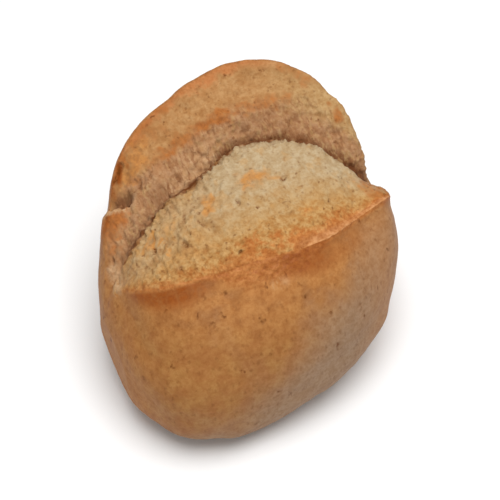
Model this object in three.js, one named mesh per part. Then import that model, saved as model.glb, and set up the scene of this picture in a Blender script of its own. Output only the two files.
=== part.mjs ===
// Round wholemeal bread roll with one wide lengthwise split: smooth crust below, a raised burst
// of torn crumb in front of the split, and a torn back wall that stands up to a toasted rim.
// One solid in millimetres. The split runs along X, -Y is the front, +Z is up, the base is z = 0.
import * as THREE from 'three';
import { ImprovedNoise } from 'three/addons/math/ImprovedNoise.js';
import { mergeVertices } from 'three/addons/utils/BufferGeometryUtils.js';

// Overall sizes
const HALF_LENGTH = 45;        // pole to middle, along the split
const MIDDLE_DEPTH = -1;       // line between the two ends, front to back
const POLE_SKEW = 5;           // how far that line runs back at the right end, forward at the left
const POLE_HEIGHT = 27;        // height at which the two ends close
const PLAN_POWER = 2.5;        // 2 = elliptical plan, more = squarer ends
const TOP_POWER = 2.6;         // the same for the long section above the poles
const FRONT_UNDER_POWER = 4.2; // the same below the poles, at the front
const BACK_UNDER_POWER = 2.5;  // and at the back
const UNDER_BLEND = 25;        // depth either side of the middle over which the two blend
const UNDER_FULLNESS = 1.03;   // above 1 flattens the underside to a resting face at z = 0

// Mesh density: 2 * (sum of span steps) * (SECTIONS - 1) triangles
const SECTIONS = 70;
const MERGE_DISTANCE = 0.001;  // vertices closer than this are one

// The cross-section is a closed run of spans between named corners. A corner's rows are
// [station, depth, height]: station -1..1 is pole to pole, the sizes are those of a full section.
const CORNERS = {
  toe: [[-1, -34, 0], [-0.5, -31, 0], [0, -25, 0], [0.5, -12, 0], [1, 0, 0]],
  belly: [[-1, -54, 15], [-0.5, -45, 18], [0, -41.8, 21.5], [0.5, -38, 26], [1, -33, 30]],
  lip: [[-1, -2, 46], [-0.93, -3, 49], [-0.89, -5, 50.5], [-0.84, -13, 54.2], [-0.75, -18, 54.8],
    [-0.6, -20.2, 54.5], [-0.3, -20.8, 54], [0, -22, 54.2], [0.3, -22.7, 54.5], [0.6, -20.8, 56],
    [0.86, -21.8, 60.8], [0.92, -18, 54], [1, -5, 42]],
  crest: [[-1, 0, 46], [-0.88, 3, 47.4], [-0.77, 2.6, 51.8], [-0.6, 5.5, 54.5], [-0.4, 7.4, 57],
    [-0.28, 6.7, 58], [-0.1, 10, 60.2], [0.15, 12.6, 61.1], [0.4, 9.2, 61.8], [0.6, 1, 62],
    [0.74, -9.2, 59.8], [0.86, -20, 62], [0.92, -13, 52], [1, -3, 42]],
  cleft: [[-1, 1, 46], [-0.88, 4.5, 46.6], [-0.65, 9.5, 49.5], [-0.4, 13.5, 50], [0, 16.5, 50.5],
    [0.4, 15, 51], [0.6, 9, 51], [0.75, 2, 48], [0.86, -1, 44], [0.93, -1, 41], [1, -1, 42]],
  ridge: [[-1, 3, 46], [-0.85, 17, 47], [-0.65, 27.5, 48.5], [-0.45, 24.9, 53.5], [-0.2, 25.7, 56],
    [0.1, 28, 59], [0.4, 27.6, 61], [0.65, 27.3, 64], [0.8, 22.5, 68], [0.865, 17.5, 67.5],
    [0.91, 14.5, 63], [0.935, 10, 50], [1, 1, 44]],
  rim: [[-1, 5, 46], [-0.87, 19, 45], [-0.7, 28.5, 46.7], [-0.6, 33.2, 53.2], [-0.45, 34.6, 58.5],
    [-0.1, 37.6, 62.3], [0.25, 40.7, 65], [0.5, 40.4, 67.7], [0.7, 39, 70.7], [0.82, 33.5, 73.4],
    [0.91, 23, 71], [0.935, 15, 55], [1, 4, 46]],
  back: [[-1, 19, 28], [-0.8, 29.5, 30], [-0.5, 38, 31], [0, 43.5, 32], [0.5, 45, 34], [1, 42, 32]],
  heel: [[-1, 18, 0], [-0.5, 24, 0], [0, 28, 0], [0.5, 28, 0], [1, 22, 0]],
};

// Spans in order round the section. leave / arrive are headings in degrees (0 = backwards,
// 90 = up, 180 = forwards), as one number or as [station, heading] rows; pull is the handle
// length as a share of the chord.
const LIP_LEAVE = [[-1, 5], [-0.7, 8], [-0.3, 38], [0.15, 38], [0.6, 18], [1, 5]];
const SPANS = [
  { from: 'toe', to: 'belly', leave: 180, arrive: 90, pull: 0.42, steps: 8 },
  { from: 'belly', to: 'lip', leave: 90, arrive: 46, pull: 0.36, steps: 12 },
  { from: 'lip', to: 'crest', leave: LIP_LEAVE, arrive: 4, pull: 0.33, steps: 15 },
  { from: 'crest', to: 'cleft', leave: -55, arrive: -80, pull: 0.3, steps: 4 },
  { from: 'cleft', to: 'ridge', leave: 50, arrive: 25, pull: 0.3, steps: 10 },
  { from: 'ridge', to: 'rim', leave: 12, arrive: 30, pull: 0.3, steps: 9 },
  { from: 'rim', to: 'back', leave: -45, arrive: -90, pull: 0.33, steps: 10 },
  { from: 'back', to: 'heel', leave: -90, arrive: -180, pull: 0.42, steps: 8 },
  { from: 'heel', to: 'toe', leave: 180, arrive: 180, pull: 0.3, steps: 4 },
];

// How far the split stands open at a station: 0 is closed crust, 1 is fully torn open.
const OPENING = [[-1, 0], [-0.93, 0], [-0.8, 0.8], [-0.6, 1], [0.85, 1], [0.93, 0.8], [1, 0]];
// Headings that make the closed crust one smooth arch over the ends
const CLOSED_HEADING = { lip: 12, crest: 4, cleft: 0, ridge: -4, rim: -12 };

// Relief, pushed out along the surface
const CRUST_SWELL = 0.5;       // height of the soft unevenness of the crust
const CRUST_PATCH = 15;        // width of its swellings
const CRUMB_SWELL = 0.9;       // height of the torn crumb's lumps
const CRUMB_LUMP = 6;          // width of the lumps along the split
const CRUMB_STRAND = 11;       // their length across the split, as drawn-out strands
const RELIEF_START = 4;        // height over which the relief fades in above the resting face

// Crust flap left standing at the left end: its free edge runs from root to tip, torn off at the tip
const FLAP_ROOT = new THREE.Vector2(-39, 4.5);
const FLAP_TIP = new THREE.Vector2(-28.4, 15);
const FLAP_RISE = 2.8;         // how far it stands up at the tip
const FLAP_EDGE = 3;           // width of its torn edges
const FLAP_WIDTH = 6;          // back from the free edge at full height
const FLAP_FADE = 6;           // further back, where it runs into the side of the roll
const NOTCH_DEPTH = 2.4;       // hollow behind the tip
const NOTCH_LENGTH = 7;
const FLAP_FOOT = 28;          // height at which the flap begins to stand out
const FLAP_SHOULDER = 40;      // height at which it does so fully

const CRUST_COLOUR = 0xb98552;

// Smooth curve through rows of [station, ...values]; returns the values at a station
function curveThrough(rows) {
  const stations = rows.map((row) => row[0]);
  const values = rows.flatMap((row) => row.slice(1));
  const curve = new THREE.CubicInterpolant(stations, values, rows[0].length - 1);
  return (station) => [...curve.evaluate(station)];
}

const corners = Object.fromEntries(
  Object.entries(CORNERS).map(([name, rows]) => [name, curveThrough(rows)]),
);
const opening = curveThrough(OPENING);
const spans = SPANS.map((span) => (
  { ...span, leave: headingCurve(span.leave), arrive: headingCurve(span.arrive) }
));

function headingCurve(heading) {
  return Array.isArray(heading) ? curveThrough(heading) : () => [heading];
}

// 1 in the middle, falling to 0 at the poles
function taper(station, power) {
  return Math.max(0, 1 - Math.abs(station) ** power) ** (1 / power);
}

function underPower(depth) {
  const share = THREE.MathUtils.smoothstep(depth, -UNDER_BLEND, UNDER_BLEND);
  return THREE.MathUtils.lerp(FRONT_UNDER_POWER, BACK_UNDER_POWER, share);
}

function cornerAt(name, station) {
  const [depth, height] = corners[name](station);
  return new THREE.Vector2(depth, height);
}

// Handle of a span at one of its corners
function handle(corner, heading, length, station) {
  const [torn] = heading(station);
  const closed = CLOSED_HEADING[corner] ?? torn;
  const share = THREE.MathUtils.clamp(opening(station)[0], 0, 1);
  const angle = THREE.MathUtils.degToRad(THREE.MathUtils.lerp(closed, torn, share));
  return new THREE.Vector2(Math.cos(angle), Math.sin(angle)).multiplyScalar(length);
}

// Point of the full-size section, as depth and height
function sectionPoint(span, share, station) {
  const start = cornerAt(span.from, station);
  const end = cornerAt(span.to, station);
  const reach = start.distanceTo(end) * span.pull;
  const curve = new THREE.CubicBezierCurve(
    start,
    start.clone().add(handle(span.from, span.leave, reach, station)),
    end.clone().sub(handle(span.to, span.arrive, reach, station)),
    end,
  );
  return curve.getPoint(share);
}

// Place on the roll, from the station along it and the step round the section
function place(station, step) {
  let left = step;
  let index = 0;
  while (left >= spans[index].steps && index < spans.length - 1) {
    left -= spans[index].steps;
    index += 1;
  }
  const span = spans[index];
  const full = sectionPoint(span, left / span.steps, station);
  const rise = full.y > POLE_HEIGHT
    ? taper(station, TOP_POWER)
    : taper(station, underPower(full.x)) * UNDER_FULLNESS;
  const centre = MIDDLE_DEPTH + POLE_SKEW * station;
  return new THREE.Vector3(
    station * HALF_LENGTH,
    centre + (full.x - centre) * taper(station, PLAN_POWER),
    Math.max(0, POLE_HEIGHT + (full.y - POLE_HEIGHT) * rise),
  );
}

// 1 on torn crumb, 0 on crust: the spans from the lip round to the rim, while the split is open
function tornShare(station, step) {
  const first = cornerStep('lip');
  const last = cornerStep('rim');
  const inside = step > first && step < last ? 1 : 0;
  return inside * THREE.MathUtils.clamp(opening(station)[0], 0, 1);
}

function cornerStep(name) {
  const index = SPANS.findIndex((span) => span.from === name);
  return SPANS.slice(0, index).reduce((sum, span) => sum + span.steps, 0);
}

// Height of the flap and of the notch behind its tip, above the plain surface
function flapRise(at) {
  const edge = FLAP_TIP.clone().sub(FLAP_ROOT);
  const length = edge.length();
  edge.normalize();
  const offset = new THREE.Vector2(at.x, at.y).sub(FLAP_ROOT);
  const along = offset.dot(edge);
  const behind = -offset.cross(edge);
  const { smoothstep } = THREE.MathUtils;
  const across = smoothstep(behind, 0, FLAP_EDGE)
    * (1 - smoothstep(behind, FLAP_WIDTH, FLAP_WIDTH + FLAP_FADE))
    * smoothstep(at.z, FLAP_FOOT, FLAP_SHOULDER);
  const torn = smoothstep(along, length, length + FLAP_EDGE);
  const ramp = smoothstep(along, 0, length) * (1 - torn);
  const notch = torn * (1 - smoothstep(along, length + FLAP_EDGE, length + NOTCH_LENGTH));
  return across * (FLAP_RISE * ramp - NOTCH_DEPTH * notch);
}

const grain = new ImprovedNoise();

// Distance by which the surface stands out at a place
function relief(at, torn) {
  const crust = CRUST_SWELL * grain.noise(at.x / CRUST_PATCH, at.y / CRUST_PATCH, at.z / CRUST_PATCH);
  const crumb = CRUMB_SWELL * grain.noise(at.x / CRUMB_LUMP, at.y / CRUMB_STRAND, at.z / CRUMB_STRAND);
  return THREE.MathUtils.smoothstep(at.z, 0, RELIEF_START) * (crust + torn * crumb);
}

// A sphere with its poles on X, each ring of which becomes a section
function rollGeometry() {
  const around = SPANS.reduce((sum, span) => sum + span.steps, 0);
  const sphere = new THREE.SphereGeometry(1, around, SECTIONS);
  const { position, uv } = sphere.attributes;
  const torn = new THREE.BufferAttribute(new Float32Array(position.count), 1);
  for (let i = 0; i < position.count; i += 1) {
    const station = Math.cos(Math.PI * uv.getY(i));
    const step = Math.round(uv.getX(i) * around) % around;
    const at = place(station, step);
    position.setXYZ(i, at.x, at.y, at.z);
    torn.setX(i, tornShare(station, step));
  }
  sphere.deleteAttribute('uv');
  sphere.deleteAttribute('normal');
  sphere.setAttribute('torn', torn);
  const shape = mergeVertices(sphere, MERGE_DISTANCE);
  pushOut(shape);
  shape.deleteAttribute('torn');
  shape.computeBoundingBox();
  const middle = shape.boundingBox.getCenter(new THREE.Vector3());
  return shape.translate(-middle.x, -middle.y, 0);
}

// Moves every vertex along its normal by the relief at its place, and up by the flap
function pushOut(shape) {
  shape.computeVertexNormals();
  const { position, normal, torn } = shape.attributes;
  const at = new THREE.Vector3();
  const out = new THREE.Vector3();
  for (let i = 0; i < position.count; i += 1) {
    at.fromBufferAttribute(position, i);
    out.fromBufferAttribute(normal, i);
    const lift = flapRise(at);
    at.addScaledVector(out, relief(at, torn.getX(i)));
    position.setXYZ(i, at.x, at.y, Math.max(0, at.z + lift));
  }
  shape.deleteAttribute('normal');
}

const roll = new THREE.Mesh(
  rollGeometry(),
  new THREE.MeshStandardMaterial({ color: CRUST_COLOUR, roughness: 0.8, metalness: 0 }),
);
roll.name = 'bread_roll';

const part = new THREE.Group();
part.name = 'bread_roll_part';
part.add(roll);

export default part;
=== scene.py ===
"""Looks for a round wholemeal bread roll that has split lengthwise in the oven.

The roll is one piece: smooth speckled crust below, a raised burst of torn crumb in front of
the split, and a torn back wall that stands up to a toasted rim. Lengths are in metres. The
split runs along X, -Y is the front, +Z is up and the roll rests on z = 0.
"""
import math

import bpy
import numpy as np
from mathutils import Matrix, Vector, noise


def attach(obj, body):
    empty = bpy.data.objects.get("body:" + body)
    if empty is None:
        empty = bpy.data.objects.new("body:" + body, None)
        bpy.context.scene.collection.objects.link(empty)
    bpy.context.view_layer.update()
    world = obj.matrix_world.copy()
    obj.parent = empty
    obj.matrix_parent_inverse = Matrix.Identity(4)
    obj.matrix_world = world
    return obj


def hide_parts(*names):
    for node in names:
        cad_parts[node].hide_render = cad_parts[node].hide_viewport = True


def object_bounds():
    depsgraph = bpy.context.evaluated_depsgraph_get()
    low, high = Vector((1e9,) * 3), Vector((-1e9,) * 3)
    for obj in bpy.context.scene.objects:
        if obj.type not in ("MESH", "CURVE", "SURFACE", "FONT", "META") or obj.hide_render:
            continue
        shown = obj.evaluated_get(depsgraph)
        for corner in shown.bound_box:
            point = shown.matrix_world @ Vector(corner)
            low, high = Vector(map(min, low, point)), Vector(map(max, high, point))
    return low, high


bl_info = {
    "name": "Split Bread Roll",
    "version": (1, 0, 0),
    "blender": (4, 5, 0),
    "location": "View3D > Sidebar > Bread Roll",
    "description": "Wholemeal bread roll with one wide lengthwise split, on a pale floor",
    "category": "Add Mesh",
}

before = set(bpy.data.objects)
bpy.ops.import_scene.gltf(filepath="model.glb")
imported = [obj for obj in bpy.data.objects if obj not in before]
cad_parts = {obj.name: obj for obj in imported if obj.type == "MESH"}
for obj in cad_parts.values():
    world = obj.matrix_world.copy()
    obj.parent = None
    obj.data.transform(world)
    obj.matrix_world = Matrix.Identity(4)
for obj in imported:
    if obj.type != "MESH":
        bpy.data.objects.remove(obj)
SOLID = "bread_roll"
SOLID_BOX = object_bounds()
MM = 0.001

# The plan of the roll, close to its solid's, in millimetres
HALF_LENGTH = 45.0
MIDDLE_DEPTH = -1.0
POLE_SKEW = 5.0        # how far behind the middle the right end lies
POLE_HEIGHT = 27.0     # height of the two ends
PLAN_POWER = 2.5       # how full the roll is towards its ends, seen from above
TOP_POWER = 2.6        # and seen from the front
CENTRING = -1.333      # moves the section's depths onto the middle of the solid
LINE_GAP = 0.01        # least depth between neighbouring lines of the split

# The lines of the split from front to back, as (station, depth, height) of the full section;
# the station runs from -1 at the left end to 1 at the right end
SPLIT_LINES = {
    "lip": (
        (-1, -2, 46), (-.93, -3, 49), (-.89, -5, 50.5), (-.84, -12, 54.6), (-.75, -17, 55.2),
        (-.6, -19.4, 54.8), (-.3, -20.6, 54.1), (0, -22, 54.2), (.3, -22.7, 54.5),
        (.6, -20.8, 56), (.86, -21.8, 60.8), (.92, -18, 54), (1, -5, 42)),
    "crest": (
        (-1, 0, 46), (-.88, 3, 47.4), (-.77, 2.6, 51.8), (-.6, 5.5, 54.5), (-.4, 7.4, 57),
        (-.28, 6.7, 58), (-.1, 10, 60.2), (.15, 12.6, 61.1), (.4, 9.2, 61.8), (.6, 1, 62),
        (.74, -9.2, 59.8), (.86, -20, 62), (.92, -13, 52), (1, -3, 42)),
    "cleft": (
        (-1, 1, 46), (-.88, 4.5, 46.6), (-.65, 9.5, 49.5), (-.4, 13.5, 50), (0, 16.5, 50.5),
        (.4, 15, 51), (.6, 9, 51), (.75, 2, 48), (.86, -1, 44), (.93, -1, 41), (1, -1, 42)),
    "ridge": (
        (-1, 3, 46), (-.85, 17, 47), (-.65, 27.5, 48.5), (-.45, 24.9, 53.5), (-.2, 25.7, 56),
        (.1, 28, 59), (.4, 27.6, 61), (.65, 27.3, 64), (.8, 22.5, 68), (.865, 17.5, 67.5),
        (.91, 14.5, 63), (.935, 10, 50), (1, 1, 44)),
    "rim": (
        (-1, 5, 46), (-.87, 19, 45), (-.7, 28.5, 46.7), (-.6, 33.2, 53.2), (-.45, 34.6, 58.5),
        (-.1, 37.6, 62.3), (.25, 40.7, 65), (.5, 40.4, 67.7), (.7, 39, 70.7),
        (.82, 33.5, 73.4), (.91, 23, 71), (.935, 15, 55), (1, 4, 46)),
}
# How far the split stands open at a station
OPENING = ((-1, 0), (-.93, 0), (-.8, .8), (-.6, 1), (.85, 1), (.93, .8), (1, 0))
LIP, CREST, CLEFT, RIDGE, RIM = range(5)


def colour(text):
    """Linear colour from a hex code of the colour as seen."""
    channels = [int(text[i:i + 2], 16) / 255 for i in (0, 2, 4)]
    return tuple(c / 12.92 if c <= 0.04045 else ((c + 0.055) / 1.055) ** 2.4 for c in channels)


def smooth(value, start, end):
    """0 below start, 1 above end, eased between them."""
    share = np.clip((value - start) / (end - start), 0, 1)
    return share * share * (3 - 2 * share)


def taper(station, power):
    """1 in the middle of the roll, falling to 0 at its two ends."""
    return np.clip(1 - np.abs(station) ** power, 0, 1) ** (1 / power)


def curve_through(rows, stations):
    """Smooth curve through rows of (station, ...values), read at an array of stations."""
    table = np.array(rows, float)
    knots, values = table[:, 0], table[:, 1:]
    slopes = np.diff(values, axis=0) / np.diff(knots)[:, None]
    tangents = np.vstack([slopes[:1], (slopes[:-1] + slopes[1:]) / 2, slopes[-1:]])
    right = np.clip(np.searchsorted(knots, stations, side="right"), 1, len(knots) - 1)
    left = right - 1
    gap = knots[right] - knots[left]
    t = ((stations - knots[left]) / gap)[:, None]
    gap = gap[:, None]
    return ((2 * t**3 - 3 * t**2 + 1) * values[left] + (t**3 - 2 * t**2 + t) * gap * tangents[left]
            + (3 * t**2 - 2 * t**3) * values[right] + (t**3 - t**2) * gap * tangents[right])


def split_places(x):
    """Depth and height of each line of the split at lengthwise places x, all in millimetres."""
    station = np.clip(x / HALF_LENGTH, -1, 1)
    centre = MIDDLE_DEPTH + POLE_SKEW * station
    depths, heights = [], []
    for rows in SPLIT_LINES.values():
        depth, height = curve_through(rows, station).T
        depths.append(centre + (depth - centre) * taper(station, PLAN_POWER) + CENTRING)
        heights.append(POLE_HEIGHT + (height - POLE_HEIGHT) * taper(station, TOP_POWER))
    gaps = LINE_GAP * np.arange(len(SPLIT_LINES))[:, None]
    depths = np.maximum.accumulate(np.array(depths) + gaps, axis=0)
    return depths, np.array(heights), np.clip(curve_through(OPENING, station)[:, 0], 0, 1)


def across_split(points):
    """Where each point lies across the split, and how far the split is open there.

    Across is 0 at the lip, 1 at the crest, 2 in the cleft, 3 at the ridge and 4 at the rim.
    In front of the lip it is minus the distance to it, behind the rim 4 plus the distance.
    """
    x, y, z = points.T
    depths, heights, opening = split_places(x)
    across = np.zeros(len(points))
    for line in range(RIM):
        share = (y - depths[line]) / (depths[line + 1] - depths[line])
        across = np.where(y >= depths[line], line + np.clip(share, 0, 1), across)
    before = np.hypot(y - depths[LIP], z - heights[LIP])
    behind = np.hypot(y - depths[RIM], z - heights[RIM])
    under = z < POLE_HEIGHT
    across = np.where((y < depths[LIP]) | (under & (across < CLEFT)), -before, across)
    across = np.where((y > depths[RIM]) | (under & (across >= CLEFT)), RIM + behind, across)
    return across, opening


# The settings' kinds: a number, a length given in millimetres, and a colour


def number(name, description, default, **settings):
    return bpy.props.FloatProperty(name=name, description=description, default=default, **settings)


def length(name, description, millimetres, **settings):
    return number(name, description, millimetres * MM, unit="LENGTH", precision=5, **settings)


def tone(name, description, default):
    return bpy.props.FloatVectorProperty(
        name=name, description=description, default=default, subtype="COLOR")


class RollShape(bpy.types.PropertyGroup):
    """Sizes of the roll's relief."""
    detail: length(
        "Detail", "Edge length of the crust's faces, twice that of the crumb's", 0.84, min=0.8 * MM)
    crust_swell: length("Crust swell", "Soft unevenness of the crust", 0.5)
    crust_skin: length("Crust skin", "Fine unevenness of the crust", 0.14)
    crumb_lumps: length("Crumb lumps", "Height of the torn crumb's lumps", 1.1)
    crumb_grain: length("Crumb grain", "Height of the torn crumb's grains", 0.45)
    crumb_folds: length("Crumb folds", "Height of the folds at the burst's left end", 1.5)
    crest_teeth: length("Crest teeth", "Height of the torn teeth along the crest", 1.9)
    wall_strands: length(
        "Wall strands", "Height of the drawn-out strands of the back wall", 1.8)
    lip_edge: length("Lip edge", "Height of the crust's edge along the split", 0.32)
    lip_hollow: length("Lip hollow", "Depth of the hollows under the crust's edge", 0.3)
    pit: length("Pits", "Depth of the deeper pits in crust and crumb", 0.6)
    lip_grit: length("Lip grit", "Height of the coarse grains along the split's edge", 1.1)
    pores: length("Pores", "Depth of the crumb's pores", 0.7)
    flap: length("Flap", "How much further the flap stands up than in the solid", 1.0)
    swell: length("Swell", "How much fuller the roll's outline is than the solid's", 1.3)
    notch: length("Notch", "How much deeper the notch behind the flap is", 1.6)


class RollColours(bpy.types.PropertyGroup):
    """Colours of the crust and the torn crumb."""
    crust: tone("Crust", "Baked crust", colour("A47540"))
    crust_gold: tone("Golden crust", "Lighter crust near the lip", colour("B17942"))
    crust_deep: tone("Deep crust", "Browner clouds in the crust", colour("9C6837"))
    # Painted shade: the crust turns greyer to the right and towards the ground, on the side turned
    # from the light
    crust_painted_shade: tone("Shadowed crust", "Greyer crust at the side and below", colour("987B60"))
    # The grain's darkening is partly the bread's own grain and partly painted fine shade between
    # the grains
    grain: tone("Grain", "What the grain takes away from a colour", colour("DCC5A2"))
    # Toast is the crust's own colour; the same colour also makes the painted shade line just behind
    # the lip's edge
    toast: tone("Toast", "Toasted crust under the split's edge", colour("8F4A10"))
    blush: tone("Blush", "Orange spots on the burst and the back wall", colour("BD8546"))
    ember: tone(
        "Ember", "Orange streaks on the back wall and the split's ends", colour("A5652F"))
    # Painted shade: the colour laid in the crumb's hollows, crevices and low relief and at the
    # wall's foot
    hollow: tone("Hollows", "Hollows between the torn crumbs", colour("7C4E2B"))
    # Bran specks are the crust's own; the same colour is painted shade in pits, pores and the gap
    # behind the crest
    bran_and_pit_shade: tone("Specks", "Bran specks and small pits", colour("663400"))
    lip: tone("Lip", "Edge of the crust along the split", colour("BB7B42"))
    # Painted highlight along the crust's edge at the lip's right part
    edge: tone("Edge line", "Thin pale line along the lip at the right", colour("D09A6A"))
    crumb_warm: tone("Warm crumb", "Torn crumb near the lip", colour("B88F59"))
    crumb: tone("Crumb", "Torn crumb halfway up the burst", colour("B29265"))
    crumb_pale: tone("Pale crumb", "Torn crumb at the crest", colour("B29D7C"))
    fray: tone(
        "Frayed crumb", "Pale torn strands at the left end and along the flap", colour("BA9671"))
    # Painted shade: the dark colour laid deep in the cleft and in the shaded hollows
    cleft: tone("Cleft", "Bottom of the split", colour("6C4224"))
    wall: tone("Back wall", "Torn crumb of the lower back wall", colour("AC8460"))
    wall_top: tone("Upper wall", "Dry crumb of the upper back wall", colour("B08658"))
    rim: tone("Rim", "Rim of the back wall", colour("B27545"))


class StudioSetup(bpy.types.PropertyGroup):
    """Floor, lights and camera."""
    floor: tone("Floor", "Colour of the pale floor", (0.86, 0.86, 0.86))
    key_power: number("Key light", "Power of the large light above", 8.5, unit="POWER")
    fill_power: number("Fill light", "Power of the light from the front", 0.4, unit="POWER")
    sky: number("Sky", "Strength of the even light from all round", 0.42)
    azimuth: number(
        "Azimuth", "Direction of the camera round the roll", math.radians(-26), subtype="ANGLE")
    elevation: number(
        "Elevation", "Height of the camera above the floor", math.radians(50), subtype="ANGLE")
    distance: number("Distance", "Camera to the middle of the roll", 0.42, unit="LENGTH")
    lens: number("Lens", "Focal length in millimetres", 105.84)


MERGE_DISTANCE = 0.01 * MM
QUAD_ANGLE = math.radians(60)    # how far two triangles may be bent and still make one quad
LEAST_WEIGHT = 0.003             # vertices with less than this stay out of a group


def deselect():
    bpy.ops.object.select_all(action="DESELECT")


def make_active(piece):
    deselect()
    piece.select_set(True)
    bpy.context.view_layer.objects.active = piece


def apply_modifier(piece, kind, **settings):
    """Adds a modifier with these settings and applies it."""
    make_active(piece)
    modifier = piece.modifiers.new(kind.title(), kind)
    for key, value in settings.items():
        setattr(modifier, key, value)
    bpy.ops.object.modifier_apply(modifier=modifier.name)


def mesh_points(piece):
    """Vertices of a piece, in millimetres."""
    points = np.empty(len(piece.data.vertices) * 3)
    piece.data.vertices.foreach_get("co", points)
    return points.reshape(-1, 3) / MM


def move_to(piece, points):
    """Puts the vertices at these points, in metres."""
    piece.data.vertices.foreach_set("co", points.ravel())
    piece.data.update()


def copy_of_solid(name):
    """The solid's shape as a piece of its own, merged and turned into quads."""
    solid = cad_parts[SOLID]
    piece = bpy.data.objects.new(name, solid.data.copy())
    bpy.context.scene.collection.objects.link(piece)
    piece.data.materials.clear()
    make_active(piece)
    bpy.ops.object.mode_set(mode="EDIT")
    bpy.ops.mesh.select_all(action="SELECT")
    bpy.ops.mesh.remove_doubles(threshold=MERGE_DISTANCE)
    bpy.ops.mesh.tris_convert_to_quads(face_threshold=QUAD_ANGLE, shape_threshold=QUAD_ANGLE)
    bpy.ops.object.mode_set(mode="OBJECT")
    return piece


def subdivide_where(piece, chosen):
    """Cuts the faces whose vertices are all chosen into four."""
    make_active(piece)
    bpy.ops.object.mode_set(mode="EDIT")
    bpy.ops.mesh.select_mode(type="FACE")
    bpy.ops.mesh.select_all(action="DESELECT")
    bpy.ops.object.mode_set(mode="OBJECT")
    faces = piece.data.polygons
    faces.foreach_set("select", [bool(chosen[list(face.vertices)].all()) for face in faces])
    bpy.ops.object.mode_set(mode="EDIT")
    bpy.ops.mesh.subdivide(number_cuts=1)
    bpy.ops.object.mode_set(mode="OBJECT")


def set_attribute(piece, name, values):
    attribute = piece.data.attributes.new(name, "FLOAT", "POINT")
    attribute.data.foreach_set("value", np.asarray(values, np.float32))


def set_group(piece, name, weights):
    """Vertex group from an array of weights."""
    group = piece.vertex_groups.new(name=name)
    for index in np.nonzero(weights > LEAST_WEIGHT)[0]:
        group.add([int(index)], float(weights[index]), "REPLACE")


def raise_relief(piece, name, group, grain, height, kind="CLOUDS", stretch=(1, 1, 1), middle=0.5):
    """Pushes the surface out and in by a noise whose grains are this wide, inside a group.

    Middle is the value of the noise that leaves the surface where it is.
    """
    texture = bpy.data.textures.new(name, kind)
    texture.noise_scale = grain
    guide = bpy.data.objects.new(name, None)
    guide.scale = stretch
    bpy.context.scene.collection.objects.link(guide)
    bpy.context.view_layer.update()
    apply_modifier(piece, "DISPLACE", texture=texture, texture_coords="OBJECT",
                   texture_coords_object=guide, strength=height, mid_level=middle,
                   vertex_group=group)
    bpy.data.objects.remove(guide)
    bpy.data.textures.remove(texture)


def stay_in_box(piece):
    """Keeps every vertex inside the solid's box."""
    low, high = (np.array(corner) for corner in SOLID_BOX)
    move_to(piece, np.clip(mesh_points(piece) * MM, low, high))


# These tables place things by strokes, each (start, end, radius, strength) in millimetres.
# Where the roll is fuller than its solid
SWELLS = (
    ((26, -33, 17), (8, -40, 13), 9, 1),
    ((0, -42, 11), (-20, -42, 8), 7, 0.8),
    ((-45, -8, 22), (-43, -22, 13), 8, 0.8),
    ((0, 36, 61), (28, 37, 64), 5, 0.5),
    ((40.5, 14, 54), (42, 7, 48), 8, 0.5),
    ((29.5, 33, 63), (34, 27, 61), 7, 0.4),
)
# Orange blushes on the burst and one on the back wall
BLUSHES = (
    ((0.6, -0.8, 60.6), (4, -0.9, 60.6), 3.4, 1),
    ((7, -2.5, 60.5), (9, -3.2, 60.2), 2.6, 0.6),
    ((-11.3, -3.6, 57.9), (-11.3, -1.2, 58), 2.8, 1),
    ((11, -15.5, 58.2), (11.8, -13, 58.3), 1.2, 0.6),
    ((-22.6, -2.6, 54.3), (-21.4, -1, 54.3), 2.6, 0.45),
    ((-15.6, -14, 55.8), (-18, -8, 55.6), 2.4, 0.35),
    ((28.5, -9, 54.7), (30.5, -11.5, 54.7), 2.2, 0.5),
    ((-26.6, 0, 51.3), (-28.2, -4.2, 50.6), 1.4, 1),
    ((-28.6, 0, 50), (-30.6, -3.4, 49), 1.7, 0.8),
    ((-25.7, -5, 52.3), (-26, -7.5, 52.1), 1.4, 0.9),
    ((-24, -12, 53.4), (-20, -14, 54.6), 2.6, 0.4),
    ((-25, 23.6, 49.6), (-18, 27.5, 55), 4.2, 0.5),
)
# Orange streaks on the back wall and at the split's ends
EMBERS = (
    ((-38.5, -9, 44.6), (-34.2, -14.8, 48.9), 1.5, 0.4),
    ((-34.2, -14.8, 48.9), (-27.6, -18.3, 51.8), 1.7, 0.4),
    ((31.5, -14.5, 54.5), (37, -17.5, 52), 3.2, 0.8),
    ((32.5, -10.5, 53.6), (38, -14.5, 51), 3.6, 0.9),
    ((0.1, 25.9, 58.2), (6.6, 25.9, 59.3), 2.8, 1),
    ((-12.6, 23.3, 54.6), (-6.8, 24.6, 56.5), 2.8, 0.8),
    ((-17.5, 22.4, 52.5), (0.1, 25.9, 58.2), 2.8, 0.55),
    ((6.6, 25.9, 59.3), (25, 24.3, 59.4), 2.8, 0.6),
    ((-24.6, 23, 49.8), (-20.5, 25.5, 53), 3.6, 0.6),
    ((36.4, 17.5, 57.5), (37.6, 13.4, 55.4), 1.9, 0.9),
    ((28, 32.5, 63.5), (33.6, 26, 61), 2.8, 0.6),
    ((-8.6, 34.2, 60.1), (-7.2, 33.6, 60.2), 2.4, 0.7),
    ((-19.4, 28.8, 55.5), (-14, 31.6, 58.5), 3.8, 0.6),
    ((-28, 25.5, 48), (-22, 29.5, 54), 1.6, 0.9),
    ((3.1, 34.3, 61.7), (6.9, 33.7, 61.4), 2.6, 0.4),
    ((-29.6, 15, 46.9), (-31.4, 11.8, 45.3), 2.4, 0.8),
    ((-33.6, 9.4, 43.7), (-36.2, 6.9, 42.2), 2.6, 0.7),
)
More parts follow.
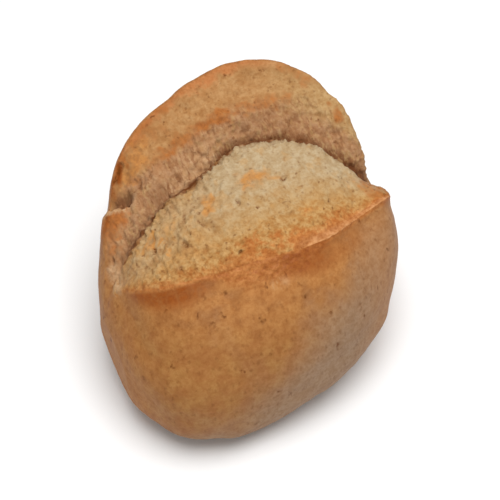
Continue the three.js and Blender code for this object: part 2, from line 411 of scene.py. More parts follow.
# Frayed pale crumb: at the split's left end, in the cleft, and a spot on the crust in front
FRAYS = (
    ((-38.4, 2.4, 40.2), (-40, -5, 41), 2.8, 0.85),
    ((-14, 13, 51.2), (-3, 17.8, 53.5), 4, 0.8),
    ((-4.2, -28.1, 49), (-1.4, -28.4, 49), 1.8, 0.4),
)
# Scorched edges at the back wall's left end
SCORCHES = (
    ((-26.8, 24.6, 48.4), (-25.4, 27.5, 51.2), 1.3, 1),
    ((-35.6, 13.2, 42.6), (-33.2, 15.6, 44.6), 1.1, 0.7),
    ((-29.7, 23, 45.6), (-28.4, 25.8, 48), 1.7, 0.6),
)
# Shaded hollows in the cleft, beside the flap and on the back wall
SHADES = (
    ((-29.4, 19.6, 44.6), (-26, 18.6, 47.4), 2.6, 0.7),
    ((-29.8, 19.7, 43.2), (-28.3, 18.9, 44.9), 1.2, 1),
    ((-28.1, 17.8, 46), (-27, 15.8, 47.7), 1, 1),
    ((-20.7, 13.1, 50.4), (-13, 14.2, 50.9), 3.6, 0.38),
    ((-2.8, 15.4, 51.6), (4.5, 16.6, 52.4), 1.6, 0.6),
    ((-7.5, 12.8, 51.5), (-2.8, 15.4, 51.6), 1.6, 0.6),
    ((-31.6, 2.4, 47.4), (-33.4, 1.6, 45.6), 1, 0.8),
    ((-27.7, 4.6, 48.8), (-29.2, 3.8, 48), 1, 0.9),
    ((-25.5, 5, 51), (-26.2, 4.8, 50), 1, 0.9),
    ((-31, 4.6, 46.5), (-34.5, 2.6, 44), 2, 0.2),
    ((9, 22.6, 57), (15, 21, 57), 2.6, 0.2),
)
# Deeper pits, pushed in and darkened with painted shade, and last the gap between the rim and the
# torn wall at the left
PITS = (
    ((10.2, -4, 59.7), (10.9, -3.4, 59.7), 0.9, 1),
    ((-4.3, -6.8, 59.6), (-4.3, -5.4, 59.7), 0.6, 0.9),
    ((6.9, -15.3, 58.5), (7.7, -14.9, 58.5), 0.6, 0.8),
    ((-10.3, -19.6, 55.9), (-9.8, -19.3, 56), 0.5, 1),
    ((-25.5, -15.9, 52.5), (-25.1, -15, 52.6), 0.6, 1),
    ((-21.6, -10.4, 55), (-22, -8.8, 55), 0.8, 0.9),
    ((-28.8, -5.2, 50.2), (-28.3, -4, 50.4), 0.6, 1),
    ((-17.3, -25.8, 48.9), (-17.1, -25, 49), 0.6, 0.8),
    ((3.1, -32.8, 44.4), (3.3, -32, 44.7), 0.6, 1),
    ((-10.9, -33.5, 42.4), (-10.3, -33.5, 42.4), 0.6, 0.8),
    ((19.2, -14.3, 56.7), (19.6, -13.8, 56.7), 0.5, 0.9),
    ((-38.2, 3.2, 40.4), (-37.4, 4.6, 41), 0.7, 1),
    ((-19.2, -3.4, 55.9), (-18.2, -1.2, 56), 0.7, 0.7),
    ((-15.2, -7.6, 57.2), (-15.8, -5.6, 57), 0.6, 0.7),
    ((-28.2, 25, 48.2), (-24.9, 27.3, 51.4), 1.1, 1),
)
# Where the crust is toasted under its edge, as (station, half width, strength)
TOAST_STRETCHES = ((-0.62, 0.24, 1.0), (-0.76, 0.16, 0.95), (0.14, 0.26, 0.8), (0.4, 0.2, 0.35))

# Toast on the crust, by its distance below the lip, in millimetres
TOAST_START = 8.5
TOAST_FULL = 3.5
TOAST_RAISED_END = 3.0      # how much higher up it starts at the left end
TOAST_RAISED_LEFT = 2.0     # and left of the middle
TOAST_LOWERED_RIGHT = 1.4   # how much lower down it starts at the right
TOAST_SHORT_LEFT = 1.3      # how far short of the edge it stops at the left
# The granular belt, by its distance below the lip, in millimetres
GRIT_REACH = 1.5
GRIT_MORE_IN_MIDDLE = 8.0
GRIT_MIDDLE = -0.08         # the station where it reaches furthest down

# The flap of crust left standing at the left end, close to the solid's, in millimetres: its
# free edge runs from the root to the tip, where it is torn off
FLAP_ROOT = np.array((-39.0, 4.5 + CENTRING))
FLAP_TIP = np.array((-28.4, 15.0 + CENTRING))
FLAP_EDGE = 0.9        # width of its torn edges
FLAP_WIDTH = 12.0      # back from the free edge
FLAP_SLANT = 0.3       # how fast its torn end falls back towards the outside
FLAP_FOOT = 36.0       # height at which it begins to stand out
FLAP_SHOULDER = 43.0   # height at which it does so fully
FLAP_LIFT = (-0.4, 0.4, 1.0)    # the direction in which it is lifted
NOTCH_LENGTH = 6.0

# The noise that tears up the orange blotches, in millimetres
BLOTCH_SEED = 3
BLOTCH_WIDTH = 2.4
BLOTCH_REACH = 2.8


class Places:
    """Where a piece's vertices lie, in millimetres, along the roll and across its split."""

    def __init__(self, piece):
        self.points = mesh_points(piece)
        self.x, _, self.z = self.points.T
        self.station = self.x / HALF_LENGTH
        self.across, self.opening = across_split(self.points)


def wandering(points):
    """Points moved about by a smooth noise, which makes what is drawn through them ragged."""
    noise.seed_set(BLOTCH_SEED)
    moves = [noise.noise_vector(point) for point in points / BLOTCH_WIDTH]
    return points + BLOTCH_REACH * np.array(moves)


def near_strokes(points, rows, core=0.25):
    """How far each point lies inside soft strokes of (start, end, radius, strength).

    Core is the share of the radius that has the full strength.
    """
    share = np.zeros(len(points))
    for start, end, radius, strength in rows:
        stroke = np.subtract(end, start)
        along = np.clip((points - start) @ stroke / (stroke @ stroke), 0, 1)
        distance = np.linalg.norm(points - start - along[:, None] * stroke, axis=1)
        faded = smooth(distance, core * radius, (1.5 - core) * radius)
        share = np.maximum(share, strength * (1 - faded))
    return share


def toasted_stretches(at):
    """Toasted crust just under the lip, deepest at the edge, along some stretches of it."""
    station = at.station
    along = np.zeros(len(station))
    for middle, half_width, strength in TOAST_STRETCHES:
        near = 1 - smooth(np.abs(station - middle), 0.3 * half_width, 1.2 * half_width)
        along = np.maximum(along, strength * near)
    raised = TOAST_RAISED_END * (1 - smooth(station, -0.92, -0.74))
    raised += TOAST_RAISED_LEFT * smooth(station, -0.62, -0.46) * (1 - smooth(station, -0.3, -0.1))
    raised -= TOAST_LOWERED_RIGHT * smooth(station, 0, 0.15)
    below = smooth(at.across, raised - TOAST_START, raised - TOAST_FULL)
    short = TOAST_SHORT_LEFT * (1 - smooth(station, -0.45, -0.2))
    above = 1 - smooth(at.across + short, -0.3, 0.2 + 0.5 * short)
    return smooth(at.opening, 0.1, 0.6) * along * below * above


def gritty_belt(at):
    """The granular belt along the lip, which reaches further down the crust in the middle."""
    middle = 1 - smooth(np.abs(at.station - GRIT_MIDDLE), 0.12, 0.42)
    reach = GRIT_REACH + GRIT_MORE_IN_MIDDLE * middle
    below = smooth(at.across, -reach, -0.25 * reach)
    return at.opening * below * (1 - smooth(at.across, 0.05, 0.4))


def flap_masks(at):
    """Masks of the standing flap, of its torn end, of the notch behind it and of its brown face."""
    reach = np.linalg.norm(FLAP_TIP - FLAP_ROOT)
    edge = (FLAP_TIP - FLAP_ROOT) / reach
    offset = at.points[:, :2] - FLAP_ROOT
    behind = offset[:, 1] * edge[0] - offset[:, 0] * edge[1]
    past = offset @ edge - (reach + 1 - FLAP_SLANT * behind)
    inside = smooth(behind, -0.5, FLAP_EDGE) * (1 - smooth(behind, 0.7 * FLAP_WIDTH, FLAP_WIDTH))
    inside *= smooth(at.z, FLAP_FOOT, FLAP_SHOULDER)
    inside *= 1 - smooth(at.across, RIM + 2, RIM + 10)
    standing = inside * smooth(past, -reach, -0.2 * reach) * (1 - smooth(past, 0, FLAP_EDGE))
    torn_end = inside * smooth(past, -1.9, -1.1) * (1 - smooth(past, 0, 0.5 * FLAP_EDGE))
    notch = inside * smooth(past, 0, FLAP_EDGE) * (1 - smooth(past, FLAP_EDGE, NOTCH_LENGTH))
    notch *= 1 - smooth(at.across, RIM - 0.25, RIM - 0.05)
    return standing, torn_end, notch, standing * smooth(behind, -2.2, 2)


def vertex_normals(piece):
    normals = np.empty(len(piece.data.vertices) * 3, np.float32)
    piece.data.vertices.foreach_get("normal", normals)
    return normals.reshape(-1, 3)


def push_out(piece, distances):
    """Moves each vertex along its normal by its own distance, in metres."""
    move_to(piece, mesh_points(piece) * MM + vertex_normals(piece) * distances[:, None])


class BREAD_OT_roll(bpy.types.Operator):
    """Bake the roll: crust, burst and back wall as one piece."""
    bl_idname = "bread.roll"
    bl_label = "Split roll"

    def execute(self, context):
        shape = context.scene.roll_shape
        roll = copy_of_solid("split_roll")
        self.refine(roll, shape)
        at = Places(roll)
        frayed = near_strokes(at.points, FRAYS)
        gritty = gritty_belt(at)
        push_out(roll, self.lip_relief(shape, at) + shape.swell * near_strokes(at.points, SWELLS))
        before, normals = mesh_points(roll), vertex_normals(roll)
        self.add_groups(roll, at, gritty, frayed)
        self.tear(roll, shape)
        relief = ((mesh_points(roll) - before) * normals).sum(axis=1)
        pits = near_strokes(at.points, PITS)
        push_out(roll, -shape.pit * pits)
        flap, torn_end, notch, brown_face = flap_masks(at)
        self.stand_flap_up(roll, shape, flap, notch)
        stay_in_box(roll)
        blotched = wandering(at.points)
        for name, values in (
                ("across", at.across), ("opening", at.opening), ("relief", relief),
                ("toast", np.maximum(toasted_stretches(at), near_strokes(at.points, SCORCHES))),
                ("blush", near_strokes(blotched, BLUSHES, core=0)),
                ("gritty", gritty),
                ("ember", np.maximum(near_strokes(blotched, EMBERS, core=0), brown_face)),
                ("frayed", np.maximum(frayed, torn_end)),
                # dark marks the pits that get painted shade
                ("dark", pits), ("shade", near_strokes(at.points, SHADES))):
            set_attribute(roll, name, values)
        make_active(roll)
        bpy.ops.object.shade_smooth()
        roll.data.materials.append(bread_material(context.scene.roll_colours))
        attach(roll, "root")
        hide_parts(SOLID)
        return {"FINISHED"}

    def refine(self, roll, shape):
        """Rounds the solid's faces off and makes them finer, most of all along the split."""
        apply_modifier(roll, "SUBSURF", levels=2, render_levels=2)
        apply_modifier(roll, "REMESH", mode="VOXEL", voxel_size=shape.detail)
        apply_modifier(roll, "SMOOTH", factor=0.5, iterations=2)
        at = Places(roll)
        torn_zone = (at.across > LIP - 4) & (at.across < RIM + 2) & (at.opening > 0.02)
        subdivide_where(roll, torn_zone | (gritty_belt(at) > 0.05))
        apply_modifier(roll, "SMOOTH", factor=0.5, iterations=1)

    def lip_relief(self, shape, at):
        """The crust's edge stands up at both sides of the burst, over a shallow hollow."""
        left = 0.3 - 0.3 * smooth(at.station, -0.6, -0.35)
        clear = np.maximum(left, smooth(at.station, 0.1, 0.35)) * at.opening
        edge = smooth(at.across, -0.8, 0) * (1 - smooth(at.across, 0, 0.04))
        hollow = smooth(at.across, -7, -3.5) * (1 - smooth(at.across, -2.8, -0.8))
        return clear * (shape.lip_edge * edge - shape.lip_hollow * hollow)

    def add_groups(self, roll, at, gritty, frayed):
        """Vertex groups for the crust and for each kind of torn crumb."""
        x, across, opening = at.x, at.across, at.opening
        torn = opening * smooth(across, -0.1, 0.25) * (1 - smooth(across, RIM - 0.15, RIM + 0.1))
        ends = frayed * (1 - smooth(x, -36, -30))
        # The crumb is calmer at the right end of the burst and towards the rim
        calm = 1 - 0.35 * smooth(x, -5, 15) * (1 - smooth(across, CREST, CLEFT))
        calm *= ((1 - 0.25 * smooth(across, RIDGE - 0.1, RIDGE + 0.3))
                 * (1 - 0.5 * smooth(across, RIM - 0.5, RIM - 0.1)))
        crest = opening * smooth(across, 0.86, 0.97) * (1 - smooth(across, 1.1, 1.5))
        crest *= 1 - smooth(x, 26, 32)
        folds = torn * (1 - smooth(x, -22, -2)) * (1 - smooth(across, 0.8, 0.95))
        wall_start = 1.1 + 0.7 * smooth(x, -20, -8)
        wall = opening * smooth(across - wall_start, 0, 0.35)
        wall *= 1 - smooth(across, RIDGE - 0.2, RIDGE + 0.15)
        wall *= 1 - 0.45 * smooth(x, -4, 12)
        for name, weights in (
                ("crust", smooth(at.z, 0.5, 5) * (1 - torn)),
                ("crumb", np.maximum(torn * calm, ends)), ("crest", crest), ("folds", folds),
                ("wall", wall), ("grit", np.maximum(gritty * calm, ends))):
            set_group(roll, name, weights)

    def tear(self, roll, shape):
        """Relief of the crust and of the torn crumb."""
        for group, name, grain, height, settings in (
                ("crust", "crust_swell", 7, shape.crust_swell, {}),
                ("crust", "crust_skin", 2, shape.crust_skin, {}),
                ("grit", "lip_grit", 1.3, shape.lip_grit, {}),
                ("crumb", "crumb_lumps", 3.5, shape.crumb_lumps, {}),
                ("crumb", "crumb_grain", 1.2, shape.crumb_grain, {"middle": 0.6}),
                ("crumb", "crumb_pores", 2.2, shape.pores, {"kind": "VORONOI"}),
                ("folds", "crumb_folds", 1.8, shape.crumb_folds, {"stretch": (1, 2.5, 2.5)}),
                ("crest", "crest_teeth", 1.2, shape.crest_teeth, {}),
                ("wall", "wall_lumps", 3, 0.6 * shape.wall_strands,
                 {"stretch": (1, 1.5, 1.5), "middle": 0.55}),
                ("wall", "wall_strands", 1.2, shape.wall_strands,
                 {"stretch": (1, 3.5, 3.5), "middle": 0.55})):
            raise_relief(roll, name, group, grain * MM, height, **settings)

    def stand_flap_up(self, roll, shape, flap, notch):
        """Lifts the flap up and outwards, and sinks the notch behind it."""
        points = mesh_points(roll) * MM
        points += shape.flap * flap[:, None] * np.array(FLAP_LIFT)
        points[:, 2] -= shape.notch * notch
        move_to(roll, points)


class Value:
    """A number that a node puts out. Arithmetic with it adds the nodes that do the sum."""

    def __init__(self, nodes, socket):
        self.nodes = nodes
        self.socket = socket

    def __add__(self, other):
        return self.nodes.math("ADD", self, other)

    def __sub__(self, other):
        return self.nodes.math("SUBTRACT", self, other)

    def __rsub__(self, other):
        return self.nodes.math("SUBTRACT", other, self)

    def __mul__(self, other):
        return self.nodes.math("MULTIPLY", self, other)

    def __or__(self, other):
        """The larger of two values, which is where either of two masks is."""
        return self.nodes.math("MAXIMUM", self, other)

    def clamped(self):
        """The same sum or product, held between 0 and 1."""
        self.socket.node.use_clamp = True
        return self

    def ease(self, start, end):
        """0 up to start, 1 from end on, eased between them."""
        return self.spread(start, end, interpolation_type="SMOOTHSTEP")

    def band(self, start, end, margin):
        """1 between start and end, easing off outside them."""
        return self.ease(start - margin, start) * (1 - self.ease(end, end + margin))

    def spread(self, start, end, low=0.0, high=1.0, **settings):
        """Low up to start, high from end on, and straight between them."""
        return self.nodes.value("ShaderNodeMapRange", {
            "Value": self, "From Min": start, "From Max": end, "To Min": low, "To Max": high},
            **settings)


class Nodes:
    """Adds nodes to a tree and links them."""

    def __init__(self, tree):
        self.tree = tree

    def link(self, value, socket):
        """Puts a constant, or what another node puts out, into an input socket."""
        if isinstance(value, Value):
            value = value.socket
        if isinstance(value, bpy.types.NodeSocket):
            self.tree.links.new(value, socket)
        else:
            socket.default_value = value

    def add(self, kind, inputs=None, **settings):
        """Adds a node with these inputs and settings."""
        node = self.tree.nodes.new(kind)
        for key, value in settings.items():
            setattr(node, key, value)
        for key, value in (inputs or {}).items():
            self.link(value, node.inputs[key])
        return node

    def value(self, kind, inputs=None, output=0, **settings):
        """Adds a node and gives the number that it puts out."""
        return Value(self, self.add(kind, inputs, **settings).outputs[output])

    def math(self, operation, first, second):
        return self.value("ShaderNodeMath", {0: first, 1: second}, operation=operation)

    def moved(self, place, offset):
        return self.add("ShaderNodeVectorMath", {0: place, 1: offset}, operation="ADD").outputs[0]

    def scaled(self, vector, factor):
        node = self.add("ShaderNodeVectorMath", {0: vector, "Scale": factor}, operation="SCALE")
        return node.outputs[0]

    def mix(self, factor, first, second, blend="MIX"):
        """Mixes two colours, each of three channels or put out by another node."""
        node = self.add("ShaderNodeMix", {0: factor}, data_type="RGBA", blend_type=blend)
        for key, tint in ((6, first), (7, second)):
            linked = isinstance(tint, bpy.types.NodeSocket)
            self.link(tint if linked else (*tint, 1), node.inputs[key])
        return node.outputs[2]

    def paint(self, base, *layers):
        """Lays colours over a base, one after the other, each given as (mask, colour)."""
        for mask, tint in layers:
            base = self.mix(mask, base, tint)
        return base

    def noise(self, place, size, detail=2.0, roughness=0.5, stretch=(1, 1, 1)):
        """Noise whose lumps are about this wide, in metres."""
        mapped = self.add("ShaderNodeMapping", {"Vector": place, "Scale": stretch}).outputs[0]
        return self.value("ShaderNodeTexNoise", {
            "Vector": mapped, "Scale": 1 / size, "Detail": detail, "Roughness": roughness}, "Fac")

    def ramp(self, value, stops):
        """Colours along a value, as (place from 0 to 1, colour) pairs."""
        node = self.add("ShaderNodeValToRGB", {"Fac": value})
        elements = node.color_ramp.elements
        while len(elements) < len(stops):
            elements.new(0.5)
        for element, (place, tint) in zip(elements, stops):
            element.position = place
            element.color = (*tint, 1)
        return node.outputs["Color"]


def speck_group():
    """Node group: a mask of scattered specks, each of its own strength.

    Size is the spacing of the specks in metres, Width their width as a share of it, and Share
    how many of the places carry one.
    """
    group = bpy.data.node_groups.new("scattered_specks", "ShaderNodeTree")
    group.interface.new_socket("Place", in_out="INPUT", socket_type="NodeSocketVector")
    for name, value in (("Size", MM), ("Width", 0.3), ("Share", 0.5)):
        socket = group.interface.new_socket(name, in_out="INPUT", socket_type="NodeSocketFloat")
        socket.default_value = value
    group.interface.new_socket("Mask", in_out="OUTPUT", socket_type="NodeSocketFloat")
    nodes = Nodes(group)
    entry = nodes.add("NodeGroupInput").outputs
    place, size = entry["Place"], entry["Size"]
    scale = nodes.math("DIVIDE", 1.0, size)
    wobble = nodes.add("ShaderNodeTexNoise", {"Vector": place, "Scale": scale * 2.0})
    offset = nodes.scaled(nodes.moved(wobble.outputs["Color"], (-0.5, -0.5, -0.5)), size)
    bent = nodes.moved(place, offset)
    cells = nodes.add("ShaderNodeTexVoronoi", {"Vector": bent, "Scale": scale})
    inside = Value(nodes, cells.outputs["Distance"]).spread(entry["Width"], 0.0, high=1.6)
    lot = nodes.value("ShaderNodeSeparateColor", {"Color": cells.outputs["Color"]})
    chosen = lot.spread(nodes.math("SUBTRACT", 1.0, entry["Share"]), 1.0)
    nodes.add("NodeGroupOutput", {"Mask": (inside * chosen).clamped()})
    return group


# Noises of the bread, as (width of the lumps, detail, roughness, stretch)
CLOUDS = (14 * MM, 3)
CLUMPS = (5 * MM, 3, 0.6)
LUMPS = (2.3 * MM, 2, 0.6)
GRIT = (0.9 * MM, 2, 0.7)
STRANDS = (1.0 * MM, 2, 0.6, (1, 0.25, 0.25))
BEND_WIDTH = 4 * MM                   # the strands are bent by a noise of this width
BEND_REACH = 3 * MM                   # and by up to this far
# Scattered specks, as (spacing, width as a share of it, share of the places, stretch)
BRAN_SPECKS = (1.3 * MM, 0.5, 0.6, (1, 1, 0.6))
BRAN_SPOTS = (3.2 * MM, 0.25, 0.5, (1, 1, 0.7))
CRUMB_HOLES = (2.4 * MM, 0.28, 0.5)
CRUMB_PORES = (1.2 * MM, 0.42, 0.5)

SHADE_SLANT = 1.36                     # how far the painted shade on the crust's side leans to the right going up
SHADED_SIDE = (-62 * MM, -28 * MM)      # from where it begins to where it is full
GOLDEN_HEIGHTS = (34 * MM, 50 * MM)   # the same for the golden crust near the top
RAMP_START, RAMP_END = -0.4, 4.6      # the stretch across the split that the ramp covers
CRUST_ROUGHNESS, CRUMB_ROUGHNESS = 0.6, 0.9
BUMP_HEIGHT = 0.4 * MM


class BreadNodes(Nodes):
    """The nodes of the bread: its masks and noises, and the colours that they bring out."""

    def __init__(self, tree, tints):
        super().__init__(tree)
        self.tints = tints
        self.place = self.add("ShaderNodeTexCoord").outputs["Object"]
        parts = self.add("ShaderNodeSeparateXYZ", {"Vector": self.place}).outputs
        self.x, self.z = Value(self, parts["X"]), Value(self, parts["Z"])
        self.across = self.attribute("across")
        self.opening = self.attribute("opening")
        self.relief = self.attribute("relief")
        self.gritty = self.attribute("gritty")
        self.frayed = self.attribute("frayed")
        self.clouds = self.noise(self.place, *CLOUDS)
        self.clumps = self.noise(self.place, *CLUMPS)
        self.lumps = self.noise(self.place, *LUMPS)
        self.grit = self.noise(self.place, *GRIT)
        bend = self.add("ShaderNodeTexNoise", {"Vector": self.place, "Scale": 1 / BEND_WIDTH})
        bent = self.moved(self.place, self.scaled(bend.outputs["Color"], BEND_REACH))
        self.strands = self.noise(bent, *STRANDS)
        self.specks = speck_group()
        self.uneven = self.uneven_across()
        self.torn = self.torn_mask()

    def attribute(self, name):
        return self.value("ShaderNodeAttribute", output="Fac", attribute_name=name)

    def along(self, start, end):
        """Eases from 0 to 1 between two places along the roll, in millimetres."""
        return self.x.ease(start * MM, end * MM)

    def scatter(self, size, width, share, stretch=(1, 1, 1)):
        """Mask of scattered specks."""
        mapped = self.add("ShaderNodeMapping", {"Vector": self.place, "Scale": stretch}).outputs[0]
        node = self.add("ShaderNodeGroup", node_tree=self.specks)
        for socket, value in zip(node.inputs, (mapped, size, width, share)):
            self.link(value, socket)
        return Value(self, node.outputs["Mask"])

    def ragged(self, mask):
        """A soft mask with its edges torn up by the grain."""
        torn_up = mask + ((self.lumps - 0.5) + (self.grit - 0.5)) * 0.9
        return torn_up.ease(0, 1.1) * mask.ease(0, 0.5) * 0.95

    def uneven_across(self):
        """The place across the split, made uneven by the noises, but not in the cleft."""
        noises = (self.clumps - 0.5) * 0.55 + (self.lumps - 0.5) * 0.35
        calmer = 1 - self.along(8, 24) * 0.4
        outside = 1 - self.across.band(CREST - 0.15, CLEFT + 0.2, 0.15)
        return self.across + noises * calmer * outside

    def torn_mask(self):
        """Where torn crumb shows instead of crust."""
        inside = self.uneven.ease(LIP - 0.12, LIP + 0.06) * self.opening
        return inside * (1 - self.across.ease(RIM - 0.1, RIM + 0.2)) | self.frayed

    def crust_colour(self):
        """Crust, golden near the top and at its ends, with painted shade that makes it greyer to
        the right and below.
        """
        tints = self.tints
        aslant = self.x - self.z * SHADE_SLANT
        # Painted shade: greyer crust to the right and below
        side = (aslant.ease(*SHADED_SIDE) + (self.clouds - 0.5)).clamped()
        gold = self.z.ease(*GOLDEN_HEIGHTS) * self.clumps.ease(0.25, 0.6)
        ends = self.along(14, 32) + self.along(-37, -45)
        bran = (self.scatter(*BRAN_SPECKS) * 0.4 + self.scatter(*BRAN_SPOTS)).clamped()
        return self.paint(
            tints.crust_deep,
            (self.clumps.ease(0.35, 0.7), tints.crust),
            (side, tints.crust_painted_shade),
            (ends * 0.5, tints.crust_gold),
            (gold * (1 - side), tints.crust_gold),
            (self.gritty * 0.8, tints.lip),
            (bran * 0.85, tints.bran_and_pit_shade))

    def crumb_ramp(self):
        """Plain colours of the torn crumb, by the place across the split."""
        tints = self.tints
        stops = (
            (LIP, tints.lip), (LIP + 0.06, tints.lip), (LIP + 0.18, tints.crumb_warm),
            (LIP + 0.34, tints.crumb), (CREST - 0.35, tints.crumb_pale),
            (CREST + 0.02, tints.crumb_pale), (CREST + 0.15, tints.wall),
            (RIDGE - 0.15, tints.wall), (RIDGE + 0.1, tints.wall_top),
            (RIM - 0.25, tints.wall_top), (RIM - 0.08, tints.rim))
        share = self.uneven.spread(RAMP_START, RAMP_END)
        return self.ramp(share, [((line - RAMP_START) / (RAMP_END - RAMP_START), tint)
                                 for line, tint in stops])

    def crumb_colour(self):
        """Torn crumb with painted shade in its cleft and hollows, warmer and paler parts, drawn-out
        strands and painted highlights.
        """
        tints, across, clumps, strands = self.tints, self.across, self.clumps, self.strands
        left = self.along(-2, -22)
        burst = 1 - across.ease(CREST, CREST + 0.3)
        # The painted shade deep in the cleft lies further back in the right half and fades to the
        # left
        lower = across - self.along(-7, 6) * 0.2
        start = self.along(-12, 0) * 0.5 + 1.3
        cleft_shade = (lower - start).ease(-0.25, 0) * (1 - lower.ease(CLEFT - 0.02, CLEFT + 0.25))
        cleft_shade = cleft_shade * (1 - left * 0.65) * (1 - self.frayed)
        # Painted shadow: a dark line in the narrow gap just behind the crest
        gaps = across.band(CREST + 0.1, CREST + 0.45, 0.2) * clumps.ease(0.35, 0.55)
        bright = across.band(RIDGE - 0.15, RIM + 0.2, 0.25) * self.along(16, 36)
        # Painted shade at the foot of the back wall, right of the middle
        wall_foot_shade = across.band(CLEFT - 0.1, RIDGE - 0.15, 0.3)
        wall_foot_shade = wall_foot_shade * self.x.band(22 * MM, 25 * MM, 10 * MM)
        warm = clumps.ease(0.54, 0.66) * 0.4 + left * 0.5
        # Painted shade in crevices between the crumbs of the burst's left part
        crevice_shade = left * clumps.ease(0.5, 0.36) * 0.3
        wall = across.band(CLEFT, RIDGE - 0.2, 0.5) * clumps.ease(0.3, 0.6)
        drawn_out = wall | left * burst * 0.4
        return self.paint(
            self.crumb_ramp(),
            (cleft_shade, tints.cleft),
            (gaps * 0.9, tints.bran_and_pit_shade),
            (bright * 0.85, tints.crumb),
            (wall_foot_shade * 0.27, tints.hollow),
            (warm * burst, tints.crumb_warm),
            (crevice_shade * burst, tints.hollow),
            # Streaks of the crumb itself, with painted highlight on the pale ones and painted shade
            # on the dark ones
            (strands.ease(0.5, 0.62) * 0.55 * drawn_out, tints.crumb),
            (strands.ease(0.5, 0.36) * 0.45 * drawn_out, tints.hollow),
            # Painted highlight: paler crumb where the relief stands out
            (self.relief.ease(0.1, 0.9) * 0.3, tints.crumb_pale))

    def with_spots(self, base):
        """Orange spots, painted shade in hollows, pores, pits and gaps, toasted edges, a painted
        highlight and shade along the lip, and frayed strands.
        """
        tints, across, lumps, grit = self.tints, self.across, self.lumps, self.grit
        patches = across.band(RIDGE, RIM - 0.2, 0.2) * self.clouds.ease(0.52, 0.68)
        patches = patches * (1 - self.along(18, 30)) * self.opening * 0.5
        # Painted shade where the relief lies low
        relief_shade = self.relief.ease(-0.2, -2.2) * 0.6
        # Painted shade: dark pores scattered over the torn crumb
        pore_shade = (self.scatter(*CRUMB_HOLES) * 0.7 + self.scatter(*CRUMB_PORES) * 0.42).clamped()
        # Thin lines along the lip's right part: a painted highlight on the crust's edge, painted
        # shade behind it
        right = self.along(2, 10)
        edge_highlight = across.band(LIP - 0.14, LIP - 0.02, 0.12) * right
        edge_shade = across.band(LIP + 0.015, LIP + 0.035, 0.02) * right
        strands = (self.strands.ease(0.34, 0.54) * 0.95
                   | self.frayed.ease(0.85, 1) * grit.ease(0.2, 0.55))
        return self.paint(
            base,
            (self.ragged(self.attribute("ember") | patches), tints.ember),
            (self.ragged(self.attribute("blush")), tints.blush),
            (relief_shade * self.torn, tints.hollow),
            (pore_shade * self.torn, tints.bran_and_pit_shade),
            (self.toasted(), tints.toast),
            (edge_shade * (self.opening * 0.5), tints.toast),
            (edge_highlight * (self.opening * 0.85), tints.edge),
            (self.attribute("shade") * lumps.ease(0.2, 0.45), tints.cleft),
            # Painted shade in the deeper pits
            (self.attribute("dark") * (grit.ease(0.3, 0.6) * lumps.ease(0.3, 0.5)), tints.bran_and_pit_shade),
            (self.frayed * strands, tints.fray))

    def toasted(self):
        """Mottled toast that ends raggedly at the lip, and scorched edges behind the crest."""
        edge = (self.lumps - 0.5) * 3 - self.across
        kept = edge.ease(0.3, 0.9) | self.across.ease(CREST, CLEFT)
        mottle = self.lumps * 0.5 + self.clumps * 0.5
        return self.attribute("toast") * kept * (mottle.ease(0.34, 0.56) * 0.6 + 0.4)

    def with_grain(self, base):
        """Darker grain and lumps, partly the bread's own tone and partly painted fine shade, most
        of all in the granular belt, and clouds on the wall.
        """
        fine = self.gritty * 0.35 + 0.42
        mottled = self.across.band(RIDGE, RIM - 0.1, 0.1) * self.along(14, -2)
        cloudy = self.across.band(RIDGE - 0.25, RIM, 0.2) * self.clumps.ease(0.5, 0.34)
        for mask in (fine * self.grit.ease(0.65, 0.3),
                     (fine + mottled * 0.15) * self.lumps.ease(0.65, 0.35),
                     cloudy * self.along(-22, -6) * 0.4):
            base = self.mix(mask, base, self.tints.grain, "MULTIPLY")
        return base

    def bumps(self):
        """Normals of the finest relief, stronger where the bread is torn."""
        height = self.grit * 0.6 + self.lumps * 0.4
        height = height * ((self.torn | self.gritty) * 0.6 + 0.5)
        return self.add("ShaderNodeBump", {
            "Height": height, "Strength": 0.6, "Distance": BUMP_HEIGHT}).outputs[0]


def new_material(name, specular):
    """A material with nodes, and the inputs of its shader."""
    material = bpy.data.materials.new(name)
    material.use_nodes = True
    shader = material.node_tree.nodes["Principled BSDF"].inputs
    shader["Specular IOR Level"].default_value = specular
    return material, shader


def bread_material(tints):
    """Crust with bran specks, toasted edges and torn crumb, by the place across the split."""
    material, shader = new_material("baked_bread", specular=0.2)
    nodes = BreadNodes(material.node_tree, tints)
    base = nodes.mix(nodes.torn, nodes.crust_colour(), nodes.crumb_colour())
    nodes.link(nodes.with_grain(nodes.with_spots(base)), shader["Base Color"])
    roughness = nodes.torn.spread(0, 1, CRUST_ROUGHNESS, CRUMB_ROUGHNESS)
    nodes.link(roughness, shader["Roughness"])
    nodes.link(nodes.bumps(), shader["Normal"])
    return material


# The stage, in metres
FLOOR_SIZE = 3.0
FLOOR_CLOUDS = 0.2       # width of the floor's clouds
FLOOR_DARKEST = 0.985    # share of the floor's colour that is left in them
LIGHT_TARGET = (0, 0, 0.03)
KEY_PLACE, KEY_SIZE = (0.02, -0.12, 0.9), 0.7
FILL_PLACE, FILL_SIZE = (-0.2, -0.8, 0.45), 0.5
AIM_HEIGHT = 30 * MM
AIM_SHIFT = 1.43 * MM    # moves the roll this far to the left and down in the view
SENSOR_WIDTH = 36        # in millimetres
CLIP_START = 0.01


def floor_material(tint):
    """Plain matt pale floor with the faintest cloudiness."""
    material, shader = new_material("pale_floor", specular=0.1)
    nodes = Nodes(material.node_tree)
    clouds = nodes.noise(nodes.add("ShaderNodeTexCoord").outputs["Object"], FLOOR_CLOUDS)
    darker = tuple(FLOOR_DARKEST * channel for channel in tint)
    nodes.link(nodes.mix(clouds, darker, tint), shader["Base Color"])
    shader["Roughness"].default_value = 0.9
    return material


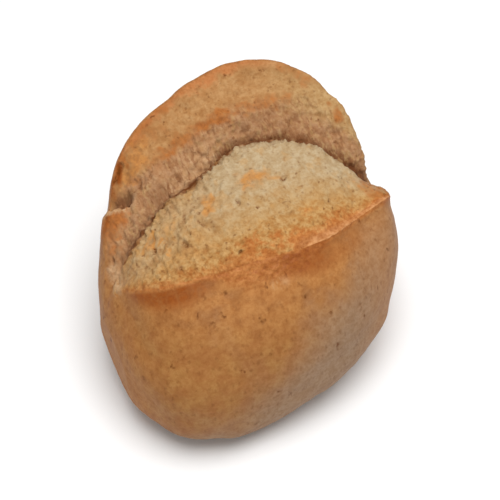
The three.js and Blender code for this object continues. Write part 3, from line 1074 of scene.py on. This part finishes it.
def area_light(name, place, size, power):
    """A round light that shines at the middle of the roll."""
    bpy.ops.object.light_add(type="AREA", location=place)
    light = bpy.context.object
    light.name = name
    light.data.shape = "DISK"
    light.data.size = size
    light.data.energy = power
    ray = Vector(LIGHT_TARGET) - Vector(place)
    light.rotation_euler = ray.to_track_quat("-Z", "Y").to_euler()


class BREAD_OT_stage(bpy.types.Operator):
    """Set the stage: pale floor, soft light and the camera."""
    bl_idname = "bread.stage"
    bl_label = "Stage"

    def execute(self, context):
        studio = context.scene.roll_studio
        scene = context.scene
        deselect()
        bpy.ops.mesh.primitive_plane_add(size=FLOOR_SIZE)
        floor = context.object
        floor.name = "pale_floor"
        floor.data.materials.append(floor_material(studio.floor))
        area_light("key", KEY_PLACE, KEY_SIZE, studio.key_power)
        area_light("fill", FILL_PLACE, FILL_SIZE, studio.fill_power)
        world = bpy.data.worlds.new("soft_sky")
        world.use_nodes = True
        background = world.node_tree.nodes["Background"]
        background.inputs["Color"].default_value = (1, 1, 1, 1)
        background.inputs["Strength"].default_value = studio.sky
        scene.world = world
        scene.view_settings.view_transform = "Standard"
        self.add_camera(scene, studio)
        return {"FINISHED"}

    def add_camera(self, scene, studio):
        """The camera looks down at the front of the roll from its left."""
        turn, rise = studio.azimuth, studio.elevation
        back = Vector((math.sin(turn) * math.cos(rise), -math.cos(turn) * math.cos(rise),
                       math.sin(rise)))
        right = Vector((math.cos(turn), math.sin(turn), 0))
        up = back.cross(right)
        aim = Vector((0, CENTRING * MM, AIM_HEIGHT)) + (right + up) * AIM_SHIFT
        bpy.ops.object.camera_add(location=aim + back * studio.distance)
        camera = bpy.context.object
        camera.name = "camera"
        camera.rotation_euler = Matrix((right, up, back)).transposed().to_euler()
        camera.data.lens = studio.lens
        camera.data.sensor_width = SENSOR_WIDTH
        camera.data.clip_start = CLIP_START
        scene.camera = camera


class BREAD_PT_panel(bpy.types.Panel):
    """Lists the roll's piece, its settings and the stage."""
    bl_idname = "BREAD_PT_panel"
    bl_label = "Split bread roll"
    bl_space_type = "VIEW_3D"
    bl_region_type = "UI"
    bl_category = "Bread Roll"

    def draw(self, context):
        for operator in OPERATORS:
            self.layout.operator(operator.bl_idname)
        for group in (context.scene.roll_shape, context.scene.roll_colours,
                      context.scene.roll_studio):
            box = self.layout.box()
            for name in group.__annotations__:
                box.prop(group, name)


OPERATORS = (BREAD_OT_roll, BREAD_OT_stage)
GROUPS = {"roll_shape": RollShape, "roll_colours": RollColours, "roll_studio": StudioSetup}


def register():
    for kind in (*GROUPS.values(), *OPERATORS, BREAD_PT_panel):
        bpy.utils.register_class(kind)
    for name, kind in GROUPS.items():
        setattr(bpy.types.Scene, name, bpy.props.PointerProperty(type=kind))


def unregister():
    for name in GROUPS:
        delattr(bpy.types.Scene, name)
    for kind in reversed((*GROUPS.values(), *OPERATORS, BREAD_PT_panel)):
        bpy.utils.unregister_class(kind)


def main():
    register()
    bpy.ops.bread.roll()
    bpy.ops.bread.stage()


if __name__ == "__main__":
    main()
